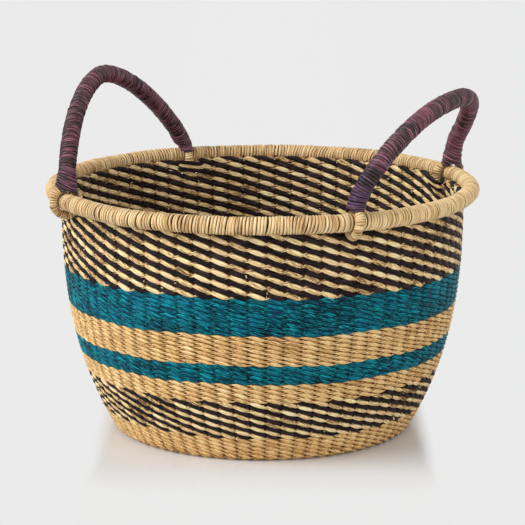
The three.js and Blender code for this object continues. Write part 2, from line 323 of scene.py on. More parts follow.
def close_ends(mesh):
    """Puts a face over each open end of the straws."""
    ends = bmesh.new()
    ends.from_mesh(mesh)
    bmesh.ops.holes_fill(ends, edges=[edge for edge in ends.edges if edge.is_boundary], sides=0)
    ends.to_mesh(mesh)
    ends.free()


def bulge_out(mesh, runs, outline):
    """Thickens strands through the wall. A bulge is the vector that an outline's x = 1 moves by."""
    points = np.empty(len(mesh.vertices) * 3)
    mesh.vertices.foreach_get("co", points)
    moves = [run.bulge[:, None, :] * outline[None, :, :1] for run in runs]
    points += np.concatenate([move.reshape(-1) for move in moves])
    mesh.vertices.foreach_set("co", points)
    mesh.update()


def note_straws(mesh, runs, outline, size):
    """Point attributes: fibre runs along the straw, tone and dye colour it, and hollow is the shade painted
    on it in creases, in pits near a crossing and on the side that faces the wall.
    """
    sides = len(outline)
    fibre, tone, dye, hollow = [], [], [], []
    for number, run in enumerate(runs):
        along = run.lengths() + FIBRE_OFFSET * number
        twist = 2 * math.pi * along / FIBRE_TURN_LENGTH
        x = np.outer(run.size, outline[:, 0]) * size
        y = np.outer(run.size, outline[:, 1]) * size
        turned_x = x * np.cos(twist)[:, None] - y * np.sin(twist)[:, None]
        turned_y = x * np.sin(twist)[:, None] + y * np.cos(twist)[:, None]
        straight = np.repeat(along[:, None], sides, 1)
        fibre.append(np.stack([straight, turned_x, turned_y], axis=2).reshape(-1, 3))
        tone.append(np.repeat(run.tone, sides))
        dye.append(np.repeat(run.dye, sides))
        # Painted shade: on the side of a strand that faces the wall, and along its edges near a crossing,
        # where the pits are
        behind = np.clip(-WALL_SIDE_GAIN * np.outer(run.facing, outline[:, 0]) - WALL_SIDE_START, 0, 1)
        edge = np.abs(outline[:, 1]) ** PIT_EDGE
        painted_pit_shade = np.clip(PIT_GAIN * np.outer(run.leaving ** PIT_SPREAD, edge) - PIT_START, 0, PIT_DEEPEST)
        crease = np.maximum(outline[None, :, 2] * CREASE_SHADE, run.hollow[:, None])
        hollow.append(np.maximum(crease, np.maximum(behind, painted_pit_shade)).ravel())
    for name, values in dict(fibre=fibre, tone=tone, dye=dye, hollow=hollow).items():
        put_attribute(mesh, name, np.concatenate(values))


def put_attribute(mesh, name, values):
    """Gives each vertex of a mesh a number or a vector, under a name that a material reads."""
    vector = values.ndim == 2
    attribute = mesh.attributes.new(name, "FLOAT_VECTOR" if vector else "FLOAT", "POINT")
    attribute.data.foreach_set("vector" if vector else "value", values.astype(np.float32).ravel())


def moved(mesh, place):
    """Moves every vertex of a mesh by place, a function of arrays x, y and z."""
    points = np.empty(len(mesh.vertices) * 3)
    mesh.vertices.foreach_get("co", points)
    points = place(*points.reshape(-1, 3).T)
    mesh.vertices.foreach_set("co", points.ravel())
    mesh.update()
    return mesh


def piece(name, meshes, material, body, replaces=()):
    """One object at the origin from one or more meshes, riding on a body."""
    mesh = meshes[0]
    if len(meshes) > 1:
        joined = bmesh.new()
        for part in meshes:
            joined.from_mesh(part)
        mesh = bpy.data.meshes.new(name)
        joined.to_mesh(mesh)
        joined.free()
    mesh.materials.append(material)
    made = bpy.data.objects.new(name, mesh)
    bpy.context.collection.objects.link(made)
    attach(made, body)
    if replaces:
        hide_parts(*replaces)


def smooth_random(rng, count, positions):
    """Seeded random values from -1 to 1, one for each whole position, joined by straight lines."""
    return np.interp(positions, np.arange(count + 1), rng.uniform(-1, 1, count + 1))


# The shell: one line from the middle of the base, round the heel and up the wall to the rim. Its first
# points all lie in the base and its last ones all in the wall.

SHELL_POINTS = 900
LAST_BASE_POINT = 300
FIRST_WALL_POINT = 400


def wall_radius(height):
    """The outer face's radius: steep at the rim, and curving in towards the foot."""
    below = np.clip(1 - height / WALL_HEIGHT, 0, None)
    return WALL_TOP_RADIUS - (WALL_TOP_RADIUS - FOOT_RADIUS) * below ** FLARE_POWER


def base_rise(radius):
    """How far the middle of the base is pushed up."""
    share = np.clip(radius / FOOT_RING_RADIUS, 0, 1)
    return BASE_PUSH_UP * (1 - share ** 2) ** 2


def shell_line():
    """The middle of the basket's thickness: length along it, radius, height and the outward angle."""
    slope = (WALL_TOP_RADIUS - FOOT_RADIUS) * FLARE_POWER / WALL_HEIGHT
    lean = math.atan(slope * (1 - HEEL_SHARE) ** (FLARE_POWER - 1))
    heel_top = HEEL_RADIUS * (1 - math.sin(lean))
    flat_radius = wall_radius(heel_top) - HEEL_RADIUS * math.cos(lean)
    across = np.linspace(0, flat_radius, 300)
    turn = np.linspace(-math.pi / 2, -lean, 30)[1:]
    height = np.linspace(heel_top, WALL_HEIGHT, 500)[1:]
    radius = np.concatenate([across, flat_radius + HEEL_RADIUS * np.cos(turn), wall_radius(height)])
    height = np.concatenate([base_rise(across), HEEL_RADIUS * (1 + np.sin(turn)), height])
    length = np.concatenate([[0], np.cumsum(np.hypot(np.diff(radius), np.diff(height)))])
    even = np.linspace(0, length[-1], SHELL_POINTS)
    radius, height = np.interp(even, length, radius), np.interp(even, length, height)
    outward = np.arctan2(-np.gradient(radius, even), np.gradient(height, even))
    radius = radius - WALL_THICKNESS / 2 * np.cos(outward)
    height = height - WALL_THICKNESS / 2 * np.sin(outward)
    length = np.concatenate([[0], np.cumsum(np.hypot(np.diff(radius), np.diff(height)))])
    return length, radius, height, outward


SHELL = shell_line()
RIM_HEIGHT = frame["joints"][0]["pos_m"][2]


def on_shell(length, angle, out=0.0):
    """Points of the shell at a length along it and an angle round it, out from its middle."""
    radius = np.interp(length, SHELL[0], SHELL[1])
    height = np.interp(length, SHELL[0], SHELL[2])
    outward = np.interp(length, SHELL[0], SHELL[3])
    reach = radius + out * np.cos(outward)
    points = np.column_stack([reach * np.cos(angle), reach * np.sin(angle), height + out * np.sin(outward)])
    return points, outward


def band_end(node):
    """How far along the shell a band ends: base zones end at a radius, wall bands at a height."""
    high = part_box(node)[1]
    if node.startswith("base"):
        return np.interp(high.x, SHELL[1][:LAST_BASE_POINT], SHELL[0][:LAST_BASE_POINT])
    wall = slice(FIRST_WALL_POINT, None)
    return np.interp(min(high.z, SHELL[2][-1]), SHELL[2][wall], SHELL[0][wall])


def beside_loops(angle):
    """Distance along the wall's top from each angle to the nearest handle loop."""
    loops = [
        BEARINGS[side] + end * math.radians(shape["half_span"])
        for side, shape in HANDLES.items() for end in (1, -1)
    ]
    apart = [np.abs((angle - loop + math.pi) % (2 * math.pi) - math.pi) for loop in loops]
    return WALL_TOP_RADIUS * np.min(apart, axis=0)


def undulation(angle, row, rows_below, rows_above):
    """The slight rise and fall of hand-twined rounds, none at the floor or under the rim."""
    share = np.clip((row - rows_below) / (rows_above - rows_below), 0, 1)
    wave = np.sin(2 * angle + 0.8 + 0.05 * row) + 0.8 * np.sin(3 * angle + 2.1 - 0.04 * row)
    wave += 0.6 * np.sin(7 * angle + 0.09 * row) + 0.45 * np.sin(13 * angle + 1.0 + 0.15 * row)
    return UNDULATION * math.sin(math.pi * share) * wave


def weave():
    """Every twined band, round by round, in pieces of a few rounds each."""
    start = band_end("base_start")
    row = 0
    base_rows = sum(rounds for node, rounds, _, _ in BANDS if node.startswith("base"))
    wave = (base_rows + HEEL_ROUNDS, sum(rounds for _, rounds, _, _ in BANDS))
    for node, rounds, stakes, straw in BANDS:
        end = band_end(node)
        pitch = (end - start) / rounds
        rng = np.random.default_rng(row)
        rows = []
        for number in range(rounds):
            middle = start + (number + 0.5) * pitch
            rows.append([
                run for strand in (0, 1)
                for run in strand_runs(rng, row, strand, middle, pitch, stakes, wave, straw)
            ])
            row += 1
        parts = math.ceil(rounds / ROUNDS_PER_PIECE)
        for part in range(parts):
            runs = sum(rows[rounds * part // parts:rounds * (part + 1) // parts], [])
            name = f"{node}_weave" if part == 0 else f"{node}_weave_{part + 1}"
            mesh = sweep(name, runs, two_ply(PLY_CREASE[straw]), 1.0)
            piece(name, [mesh], MATERIALS[straw], "basket", [node] if part == 0 else [])
        start = end


def strand_runs(rng, row, strand, middle, pitch, stakes, wave, straw):
    """One strand of a round: it passes outside every second stake and slants down to the right."""
    steps = stakes * STEPS_PER_STAKE
    place = np.arange(steps) / STEPS_PER_STAKE
    angle = 2 * math.pi * place / stakes
    phase = math.pi * (place - row + strand)
    stitch = np.round(place).astype(int) % stakes
    loose = rng.normal(0, 1, (5, stakes))
    bulk = np.abs(np.cos(phase))
    pinch = PINCH[straw]
    size = pinch + (1 - pinch) * bulk ** TAPER[straw]
    size *= 1 + LOOSE_SIZE * loose[0][stitch] * bulk
    slant = SLANT[straw] * (1 + LOOSE_SLANT * loose[4][stitch])
    lift = -slant * pitch * np.sin(phase) + LOOSE_LIFT * pitch * loose[1][stitch] * bulk
    square = np.cos(phase) * math.hypot(1, STRAND_SQUARENESS) / np.hypot(np.cos(phase), STRAND_SQUARENESS)
    swing = STRAND_SWING * square * (1 + LOOSE_SWING * loose[2][stitch])
    face = STRAND_SWING + STRAND_DEPTH - STRAND_GROOVE * (1 - bulk ** GROOVE_ROUNDNESS)
    length = middle + lift + undulation(angle, row, *wave)
    near = beside_loops(angle)
    rows_down = wave[1] - 1 - row
    if rows_down in ROWS_PUSHED_DOWN:
        push = np.exp(-(near / PUSH_REACH) ** 2)
        length = length - ROWS_PUSHED_DOWN[rows_down] * push
        size = size * (1 - PUSH_THINNING * push)
    points, outward = on_shell(length, angle, swing)
    level = np.cos(outward)
    out = np.column_stack([np.cos(angle) * level, np.sin(angle) * level, np.sin(outward)])
    tone = 0.5 + LOOSE_TONE * loose[3][stitch] + TONE_ALONG * smooth_random(rng, stakes, place)
    size = size * pitch * STRAND_FILL
    bulge = out * (face - np.abs(swing) - size)[:, None]
    tilt = STRAND_TWIST * np.sin(phase) - outward
    # Natural rounds low on the basket blend, by the dye attribute, to a darker, oranger colour
    low_on_the_basket = np.clip(1.5 - row / 30, 0, 1)
    dye = np.full(steps, float(strand) if straw == "striped" else low_on_the_basket)
    looks = dict(size=size, tilt=tilt, bulge=bulge, tone=tone, dye=dye, facing=np.cos(phase),
                 leaving=np.sin(phase) ** 2)
    if rows_down > 1:
        return [Run(points, closed=True, **looks)]
    kept = near > LOOP_GAP
    looks["size"] = looks["size"] * np.clip((near - LOOP_GAP) / LOOP_GAP_TAPER, 0.45, 1)
    first = int(np.argmax(~kept))
    order = (np.arange(steps) + first) % steps
    pieces = np.split(order, np.where(np.diff(kept[order].astype(int)) != 0)[0] + 1)
    return [
        Run(points[part], **{key: values[part] for key, values in looks.items()})
        for part in pieces if kept[part[0]] and len(part) > 2
    ]


def stakes():
    """The stakes, and between each two a straw, painted dark as shade, that closes the pits. A quarter start
    at the crossing.
    """
    starts = {0: "base_start", 2: "base_inner_rounds", 1: "base_middle_rounds", 3: "base_middle_rounds"}
    runs = []
    for number in range(2 * STAKES):
        turn = math.pi * number / STAKES
        tied = beside_loops(turn) < TIED_NEARNESS
        top = SHELL[0][-1] - (TIED_STAKE_DROP if tied else STAKE_DROP)
        between = number % 2
        start = band_end("base_outer_rounds" if between else starts[number // 2 % 4]) - STAKE_LAP
        points, _ = on_shell(np.linspace(start, top, 60), np.full(60, turn))
        if not tied:
            reach = RIM_RADIUS - STAKE_END_INSET
            end = [reach * math.cos(turn), reach * math.sin(turn), RIM_HEIGHT - STAKE_END_DROP]
            points = np.vstack([points, end])
        size = np.linspace(1, 1 + 1.3 * between, len(points))
        # Stakes are painted in deep shade, and the straws between them near-black as shade in the pits
        runs.append(Run(points, size, tone=0.35, hollow=1.1 + 0.6 * between))
    mesh = sweep("stakes_straw", runs, ROUND_STEM, STAKE_RADIUS, upright="MINIMUM")
    piece("stakes", [mesh], MATERIALS["natural"], "basket")


def strands_behind_loops():
    """Strands of the top rows that pass behind each handle loop on the inside of the wall."""
    runs = []
    for side, shape in HANDLES.items():
        for end in (-1, 1):
            middle = BEARINGS[side] + end * math.radians(shape["half_span"])
            for drop, inset, dye in STRANDS_BEHIND:
                along = np.linspace(-BEHIND_HALF_LENGTH, BEHIND_HALF_LENGTH, 25)
                dive = np.clip((np.abs(along) - BEHIND_BEND_START) / BEHIND_BEND_LENGTH, 0, 1) ** 2
                radius = RIM_RADIUS - inset + (inset - BEHIND_END_INSET) * dive
                angle = middle + (along + BEHIND_STAGGER * dye) / WALL_TOP_RADIUS
                height = RIM_HEIGHT - drop + BEHIND_SLOPE * along
                points = np.column_stack([radius * np.cos(angle), radius * np.sin(angle), height])
                size = 1.1 - 0.85 * (along / BEHIND_HALF_LENGTH) ** 4
                runs.append(Run(points, size, math.pi, tone=0.5, dye=dye))
    flat = [(x * BEHIND_FLATNESS, y, crease) for x, y, crease in two_ply(0.86)]
    mesh = sweep("strands_behind_loops_straw", runs, flat, BEHIND_SIZE)
    piece("strands_behind_loops", [mesh], MATERIALS["striped"], "basket")


def straw_ends():
    """Cut ends of straw that stick out of the striped and the teal rows, most of them on the inside."""
    rng = np.random.default_rng(77)
    runs = []
    start = band_end("base_start")
    for node, rounds, stakes, straw in BANDS:
        end = band_end(node)
        pitch = (end - start) / rounds
        for number in range(rounds if straw != "natural" else 0):
            for place in np.flatnonzero(rng.random(stakes) < STRAW_END_SHARE[straw]):
                side = -1 if rng.random() < STRAW_END_INSIDE else 1
                angle = 2 * math.pi * (place + 0.5 + rng.normal(0, 0.06)) / stakes
                length = start + (number + 0.5 + rng.normal(0, 0.1)) * pitch
                turn = angle + np.linspace(0, rng.normal(0, 0.006), 4)
                rise = length + np.linspace(0, rng.normal(0, 0.0008), 4)
                tip = STRAW_END_REACH + rng.uniform(0, STRAW_END_LONGER)
                out = side * np.linspace(STRAW_END_START, tip, 4)
                points = np.vstack([on_shell(z, np.array([a]), o)[0] for z, a, o in zip(rise, turn, out)])
                runs.append(Run(points, rng.uniform(0.7, 1.2), tone=rng.uniform(0.7, 1.0)))
        start = end
    mesh = sweep("straw_end", runs, ROUND_STEM, STRAW_END_RADIUS, upright="MINIMUM")
    piece("straw_ends", [mesh], MATERIALS["wrapping"], "basket")


def base_crossing():
    """The start of the base: straws laid two ways, woven over and under."""
    reach = band_end("base_start") + BASE_CROSSING_LAP
    middle = BASE_PUSH_UP + WALL_THICKNESS / 2
    runs = []
    for way in (0, 1):
        for number in range(BASE_CROSSING_STRAWS):
            off = (number - (BASE_CROSSING_STRAWS - 1) / 2) * BASE_CROSSING_SPACING
            half = math.sqrt(max(reach ** 2 - off ** 2, 0))
            along = np.linspace(-half, half, 40)
            phase = math.pi * (along / BASE_CROSSING_SPACING + number + way)
            height = middle + BASE_CROSSING_WAVE * np.sin(phase + math.pi / 2) * (1 if way else -1)
            across = np.full(len(along), off)
            flat = [across, along] if way else [along, across]
            runs.append(Run(np.column_stack([*flat, height]), tone=0.5 + 0.1 * math.sin(3 * number)))
    mesh = sweep("crossing_straw", runs, ROUND_STEM, BASE_CROSSING_RADIUS, upright="MINIMUM")
    piece("base_crossing", [mesh], MATERIALS["natural"], "basket", ["base_start"])


# Windings: a straw wound round a straight bar, which is then bent to its place


def wound(rng, length, pitch, radius, straw, lap=0.10, wander=0.16, lumps=0.12, slant=0.7, steps=14):
    """One straw wound round the Z axis from 0 to length, a little unevenly, as hands do it."""
    turns = round(length / pitch)
    turn = np.arange(turns * steps + 1) / steps
    spread = smooth_random(rng, turns, turn) * wander
    lean = slant * smooth_random(rng, turns // 8 + 1, turn / 8) + 0.14 * smooth_random(rng, turns, turn)
    swirl = smooth_random(rng, turns // 9 + 1, turn / 9) * 2.5
    angle = 2 * math.pi * turn
    height = (turn + spread + lean * np.sin(angle + swirl)) * length / turns
    reach = radius + lumps * straw * smooth_random(rng, 2 * turns, 2 * turn)
    size = 1 + 0.16 * smooth_random(rng, 2 * turns, 2 * turn)
    points = np.column_stack([reach * np.cos(angle), reach * np.sin(angle), height])
    tone = 0.5 + 0.28 * smooth_random(rng, turns, turn)
    tone += 0.14 * smooth_random(rng, turns // 12 + 1, turn / 12)
    return Run(points, size * straw, lap, tone=tone)


def bundle(rng, length, radius, rings=(6, 12), steps=80):
    """Grass stems side by side along the Z axis, laid with a slow twist."""
    along = np.linspace(0, length, steps)
    runs = []
    for ring, count in enumerate((1, *rings)):
        reach = radius * ring / len(rings)
        for number in range(count):
            angle = 2 * math.pi * number / count + along * BUNDLE_TWIST + ring
            points = np.column_stack([reach * np.cos(angle), reach * np.sin(angle), along])
            # The stems are painted in light shade
            runs.append(Run(points, tone=rng.uniform(0.2, 0.8), hollow=0.3))
    return runs


def rim():
    """The rolled rim: a bundle of bent-over stake ends, wrapped all round with straw."""
    rng = np.random.default_rng(41)
    length = 2 * math.pi * RIM_RADIUS

    def round_rim(x, y, z):
        angle = z / RIM_RADIUS + RIM_WINDING_START
        free = 1 - np.exp(-(beside_loops(angle) / RIM_EVEN_REACH) ** 2)
        sway = free * (RIM_SWAY * np.sin(5 * angle + 1) + RIM_SMALL_SWAY * np.sin(11 * angle))
        grown = 1 - RIM_SWELL + RIM_SWELL * free
        reach = RIM_RADIUS + x * (grown + RIM_SWELL * free * np.sin(9 * angle))
        height = RIM_HEIGHT + y * grown + sway
        return np.column_stack([reach * np.cos(angle), reach * np.sin(angle), height])

    run = wound(rng, length, RIM_PITCH, RIM_ROLL_RADIUS - RIM_STRAW_INSET, RIM_STRAW)
    wrap = moved(sweep("rim_wrap_straw", [run], WOUND_STRAW, 1.0), round_rim)
    piece("rim_winding", [wrap], MATERIALS["wrapping"], "basket", ["rim_wrap"])
    stems = bundle(rng, length, RIM_BUNDLE_RADIUS, rings=(6,), steps=180)
    core = moved(sweep("rim_stems", stems, ROUND_STEM, RIM_STEM, upright="MINIMUM"), round_rim)
    piece("rim_bundle", [core], MATERIALS["bundle"], "basket", ["rim_core"])


class Arch:
    """A handle's arch in its own frame: Y along the chord between its feet, Z up, X out."""

    def __init__(
        self, side, half_span, rise, lean, shoulder, crown, skew, bow, tilts, shifts, slides, covers,
    ):
        self.span = math.radians(half_span)
        self.lean = math.radians(lean)
        self.bearing = BEARINGS[side]
        self.front = -1 if side == "right" else 1
        ends = (self.front, -self.front)
        self.tilts = dict(zip(ends, tilts))
        self.shifts = dict(zip(ends, shifts))
        self.slides = dict(zip(ends, slides))
        self.covers = dict(zip(ends, covers))
        self.hinge_distance = RIM_RADIUS * math.cos(self.span)
        self.half_chord = RIM_RADIUS * math.sin(self.span)
        turn = np.linspace(0, math.pi, 1500)
        cosine = np.cos(turn)
        along = -np.sign(cosine) * np.abs(cosine) ** (2 / shoulder)
        up = np.clip(np.sin(turn), 0, None) ** (2 / crown)
        inward = bow * (1 - np.exp(-rise * up / BOW_HEIGHT))
        standing = 1 - np.exp(-(rise * up / FOOT_STAND) ** 2)
        across = self.half_chord * (np.sign(along) + (along - np.sign(along)) * standing) + skew * up
        self.points = np.column_stack([-inward, across, rise * up])
        steps = np.linalg.norm(np.diff(self.points, axis=0), axis=1)
        self.length = np.concatenate([[0], np.cumsum(steps)])
        self.total = self.length[-1]
        self.tangent = np.gradient(self.points, self.length, axis=0)

    def rim_direction(self, end):
        """Direction of the rim at a foot, in the handle's frame, at the lean that suits its loops."""
        return np.array([
            -end * math.sin(self.span) * math.cos(LOOP_LEAN),
            math.cos(self.span),
            -end * math.sin(self.span) * math.sin(LOOP_LEAN),
        ])

    def astride(self, points):
        """Lifts what would lie in the rim clear of it, so that each foot sits astride."""
        for end in (-1, 1):
            axis = self.rim_direction(end)
            away = points - [0, end * self.half_chord, 0]
            along = away @ axis
            apart = away - np.outer(along, axis)
            distance = np.linalg.norm(apart, axis=1)
            needed = SADDLE_RADIUS + SADDLE_FLARE * np.abs(along)
            lift = np.where(distance < needed, needed / distance - 1, 0)
            points = points + apart * lift[:, None]
        return points

    def to_world(self, points):
        """From the handle's own frame to its place on the basket."""
        x, y, z = points.T
        leaned_x = x * math.cos(self.lean) + z * math.sin(self.lean) + self.hinge_distance
        leaned_z = -x * math.sin(self.lean) + z * math.cos(self.lean) + RIM_HEIGHT
        return np.column_stack([
            leaned_x * math.cos(self.bearing) - y * math.sin(self.bearing),
            leaned_x * math.sin(self.bearing) + y * math.cos(self.bearing),
            leaned_z,
        ])

    def bent(self, start):
        """A function that bends a straight bar on the Z axis along the arch, its lower end at start."""
        def bend(x, y, z):
            travelled = z + start
            foot = np.minimum(travelled, self.total - travelled) - FOOT_START
            near = np.clip(1 - foot / FOOT_FLARE_LENGTH, 0, 1)
            first = travelled < self.total / 2
            tilt = np.where(first[:, None], self.tilts[-1], self.tilts[1]).T
            travelled = travelled + near * (np.where(first, x, -x) * tilt[0] + y * tilt[1])
            shift = near * np.where(first[:, None], self.shifts[-1], self.shifts[1]).T
            middle = np.column_stack([np.interp(travelled, self.length, part) for part in self.points.T])
            ahead = np.column_stack([np.interp(travelled, self.length, part) for part in self.tangent.T])
            ahead /= np.linalg.norm(ahead, axis=1)[:, None]
            sideways = np.cross(ahead, [1.0, 0.0, 0.0])
            sideways /= np.linalg.norm(sideways, axis=1)[:, None]
            outward = np.cross(sideways, ahead)
            flare = near ** 2
            deep = 1 + (FOOT_HALF_DEPTH / HANDLE_RADIUS - 1) * flare
            wide = 1 + (FOOT_HALF_WIDTH / HANDLE_RADIUS - 1) * flare
            turn = -self.span
            long = deep * (x * math.cos(turn) + y * math.sin(turn))
            short = wide * (y * math.cos(turn) - x * math.sin(turn))
            out = long * math.cos(turn) - short * math.sin(turn)
            across = long * math.sin(turn) + short * math.cos(turn)
            middle[:, :2] += shift.T
            return self.to_world(self.astride(middle + outward * out[:, None] + sideways * across[:, None]))
        return bend


def handle(side, shape):
    """A handle: a bundle of stems wound with purple straw, and a wrapped loop at each foot.

    The right handle's front foot is violet."""
    rng = np.random.default_rng(7 if side == "right" else 8)
    arch = Arch(side, **shape)
    body = side + "_handle"
    length = arch.total - 2 * FOOT_START
    radius = HANDLE_RADIUS - HANDLE_STRAW_INSET
    run = wound(rng, length, HANDLE_PITCH, radius, HANDLE_STRAW, wander=0.22, lumps=0.32)
    if side == "right":
        run.dye = np.clip(1.7 - run.points[:, 2] / VIOLET_LENGTH, 0, 1)
    wrap = moved(sweep(side + "_winding_straw", [run], WOUND_STRAW, 1.0), arch.bent(FOOT_START))
    piece(body + "_winding", [wrap], MATERIALS["purple"], body, [body + "_wrap"])
    stems = bundle(rng, arch.total - 2 * BUNDLE_START, HANDLE_BUNDLE_RADIUS)
    core = sweep(side + "_stems", stems, ROUND_STEM, HANDLE_STEM, upright="MINIMUM")
    core = moved(core, arch.bent(BUNDLE_START))
    piece(body + "_bundle", [core], MATERIALS["bundle"], body, [body + "_core"])
    for name, end in (("front", arch.front), ("back", -arch.front)):
        loop(rng, f"{side}_{name}_loop", body, end, arch)


def loop(rng, name, body, end, arch):
    """A cord loop, wound with fine straw, round the rim and through the weave below it.

    It is broad where it is seen and thin under the foot's winding."""
    axis = arch.rim_direction(end)
    up = np.cross([1.0, 0.0, 0.0], axis)
    up /= np.linalg.norm(up)
    out = np.cross(axis, up)

    def round_loop(x, y, z):
        angle = z / middle_radius
        from_foot = (angle - foot_angle + math.pi) % (2 * math.pi) - math.pi
        hidden = np.exp(-(from_foot / np.where(from_foot < 0, *arch.covers[end])) ** 4)
        reach = LOOP_HOLE + LOOP_TALLER * np.sin(angle) ** 2 + COVERED_RAISE * hidden
        reach += (LOOP_CORD_RADIUS + x) * (1 - COVERED_THINNING * hidden)
        along = y * LOOP_CORD_WIDENING * (1 - COVERED_NARROWING * hidden)
        along += arch.slides[end] * (0.5 + 0.5 * np.cos(angle - seen))
        points = np.outer(reach * np.cos(angle), out) + np.outer(reach * np.sin(angle), up)
        points += np.outer(along, axis)
        points[:, 1] += end * arch.half_chord
        return arch.to_world(points)

    seen = math.pi / 4 if end == arch.front else math.pi
    middle_radius = LOOP_HOLE + LOOP_CORD_RADIUS
    foot = [np.interp(FOOT_START, arch.length, part) for part in arch.points.T]
    foot[1] = 0.0
    foot_angle = math.atan2(np.dot(foot, up), np.dot(foot, out))
    length = 2 * math.pi * middle_radius
    radius = LOOP_CORD_RADIUS - LOOP_STRAW_INSET
    run = wound(rng, length, LOOP_PITCH, radius, LOOP_STRAW, wander=0.12, slant=0.3, steps=12)
    straight = np.zeros((49, 3))
    straight[:, 2] = np.linspace(0, length, 49)
    # The cord under the winding is painted in shade
    cord = Run(straight, tone=0.3, hollow=0.7)
    parts = [
        sweep(name + "_straw", [run], WOUND_STRAW, 1.0),
        sweep(name + "_cord", [cord], ROUND_STEM, LOOP_CORD_RADIUS - LOOP_CORE_INSET, upright="MINIMUM"),
    ]
    parts = [moved(part, round_loop) for part in parts]
    piece(name + "_winding", parts, MATERIALS["wrapping"], body, [name])


# Materials: one group of nodes gives every straw its fibres, and each straw has its own colours


def colour(red, green, blue):
    """A colour as it looks on a screen, 0 to 255, as the linear values that shaders use."""
    shares = (red / 255, green / 255, blue / 255)
    linear = [c / 12.92 if c <= 0.04045 else ((c + 0.055) / 1.055) ** 2.4 for c in shares]
    return (*linear, 1.0)


def node(tree, kind, inputs=None, **settings):
    """Adds a node, sets it up, and fills its inputs with values or with other nodes' outputs."""
    made = tree.nodes.new("ShaderNode" + kind)
    for key, value in settings.items():
        setattr(made, key, value)
    for socket, value in (inputs or {}).items():
        if isinstance(value, bpy.types.NodeSocket):
            tree.links.new(value, made.inputs[socket])
        else:
            made.inputs[socket].default_value = value
    return made


def maths(tree, operation, first, second=0.0, clamp=False):
    """A sum, a product or the like of two values."""
    return node(tree, "Math", {0: first, 1: second}, operation=operation, use_clamp=clamp).outputs[0]


def mixed(tree, factor, first, second, blend="MIX"):
    """A blend of two colours."""
    made = node(tree, "Mix", {0: factor, 6: first, 7: second}, data_type="RGBA", blend_type=blend)
    return made.outputs[2]


def straw_group():
    """Straw fibres: long streaks, patches of colour, a tone for each stitch and painted shade in the creases
    and pits.
    """
    group = bpy.data.node_groups.new("Straw Fibres", "ShaderNodeTree")
    sockets = [
        ("INPUT", "NodeSocketColor", ("Dark", "Middle", "Light", "Patch")),
        ("INPUT", "NodeSocketFloat", ("Patches", "Streaks", "Tones", "Shade")),
        ("OUTPUT", "NodeSocketColor", ("Colour",)),
        ("OUTPUT", "NodeSocketFloat", ("Roughness", "Height")),
    ]
    for way, kind, names in sockets:
        for name in names:
            group.interface.new_socket(name, in_out=way, socket_type=kind)
    given = group.nodes.new("NodeGroupInput").outputs
    result = group.nodes.new("NodeGroupOutput")

    fibre = node(group, "Attribute", attribute_name="fibre").outputs["Vector"]
    tone = node(group, "Attribute", attribute_name="tone").outputs["Fac"]
    hollow = node(group, "Attribute", attribute_name="hollow").outputs["Fac"]
    place = node(group, "TexCoord").outputs["Object"]
    fine = node(group, "Mapping", {"Vector": fibre, "Scale": (70, 1500, 1500)}).outputs[0]
    broad = node(group, "Mapping", {"Vector": fibre, "Scale": (22, 260, 260)}).outputs[0]
    streak = node(group, "TexNoise", {"Vector": fine, "Scale": 1.0, "Detail": 4.0}).outputs["Fac"]
    patch = node(group, "TexNoise", {"Vector": broad, "Scale": 1.0, "Detail": 3.0}).outputs["Fac"]
    drift = node(group, "TexNoise", {"Vector": place, "Scale": 22.0, "Detail": 2.0}).outputs["Fac"]

    streaks = maths(group, "MULTIPLY", maths(group, "SUBTRACT", streak, 0.5), given["Streaks"])
    tones = maths(group, "MULTIPLY", maths(group, "SUBTRACT", tone, 0.5), given["Tones"])
    drifts = maths(group, "SUBTRACT", maths(group, "ADD", patch, drift), 1.0)
    drifts = maths(group, "MULTIPLY", maths(group, "MULTIPLY", drifts, given["Patches"]), 2.5)
    level = maths(group, "ADD", maths(group, "ADD", streaks, tones), drifts)
    up = maths(group, "MULTIPLY", level, 2.0, clamp=True)
    down = maths(group, "MULTIPLY", level, -2.0, clamp=True)
    base = mixed(group, up, given["Middle"], given["Light"])
    base = mixed(group, down, base, given["Dark"])
    spotted = maths(group, "ADD", maths(group, "MULTIPLY", patch, 0.5), maths(group, "MULTIPLY", drift, 0.5))
    spot = node(group, "MapRange", {"Value": spotted, "From Min": 0.50, "From Max": 0.60}).outputs[0]
    base = mixed(group, maths(group, "MULTIPLY", spot, given["Patches"]), base, given["Patch"])
    # Painted shade: the straw's colour is multiplied towards its Dark colour by the painted shade attribute
    painted_shade_strength = maths(group, "MULTIPLY", hollow, given["Shade"])
    shaded = mixed(group, painted_shade_strength, base, given["Dark"], blend="MULTIPLY")
    # Past 1 the painted shade turns near-black, deep in the pits
    pit = maths(group, "SUBTRACT", hollow, 1.0, clamp=True)
    shaded = mixed(group, pit, shaded, PAINTED_PIT_SHADE)
    group.links.new(shaded, result.inputs["Colour"])
    rough = node(group, "MapRange", {
        "Value": streak, "From Min": 0.35, "From Max": 0.65, "To Min": 0.36, "To Max": 0.66,
    })
    group.links.new(rough.outputs[0], result.inputs["Roughness"])
    group.links.new(streak, result.inputs["Height"])
    return group


def straw_fill(tree, group, dark, middle, light, patch, patches=0.3, streaks=2.5, tones=1.0, shade=0.5):
    """The straw group in a material, with one dye's colours."""
    made = tree.nodes.new("ShaderNodeGroup")
    made.node_tree = group
    for name, value in dict(Dark=dark, Middle=middle, Light=light, Patch=patch).items():
        made.inputs[name].default_value = colour(*value)
    for name, value in dict(Patches=patches, Streaks=streaks, Tones=tones, Shade=shade).items():
        made.inputs[name].default_value = value
    return made.outputs


